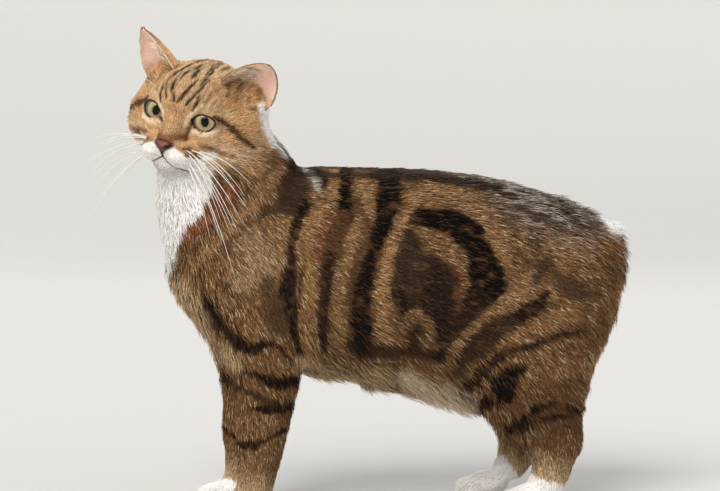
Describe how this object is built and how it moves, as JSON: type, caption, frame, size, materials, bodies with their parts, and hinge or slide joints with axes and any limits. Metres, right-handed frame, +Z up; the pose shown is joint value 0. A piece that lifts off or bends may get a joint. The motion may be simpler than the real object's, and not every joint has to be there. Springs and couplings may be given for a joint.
{
  "type": "standing manx cat",
  "caption": "Life-size standing tailless cat, brown classic tabby with white bib and paws, head turned to its left.",
  "frame": {"origin": "middle of the model's box in X and Y, on the floor under the paws", "axes": "+Z up; -X is the way the chest faces; -Y is the cat's left side, which the head turns towards"},
  "size_m": [0.4519, 0.1621, 0.3831],
  "materials": {
    "coat": "short dense tabby fur",
    "white_coat": "short white fur",
    "nose_leather": "fine-grained, slightly moist",
    "eye": "clear, wet gloss",
    "ear_skin": "thin skin with sparse fine hair"
  },
  "bodies": {
    "root": {"torso": "coat", "neck": "coat", "head": "coat", "jaw": "white_coat", "nose": "nose_leather", "eye_left": "eye", "eye_right": "eye", "ear_left": "ear_skin", "ear_right": "ear_skin", "whisker_pad_left": "white_coat", "whisker_pad_right": "white_coat", "foreleg_left": "coat", "foreleg_right": "coat", "fore_paw_left": "white_coat", "fore_paw_right": "white_coat", "hindleg_left": "coat", "hindleg_right": "coat", "hind_paw_left": "white_coat", "hind_paw_right": "white_coat", "tail_stub": "coat"}
  },
  "joints": []
}
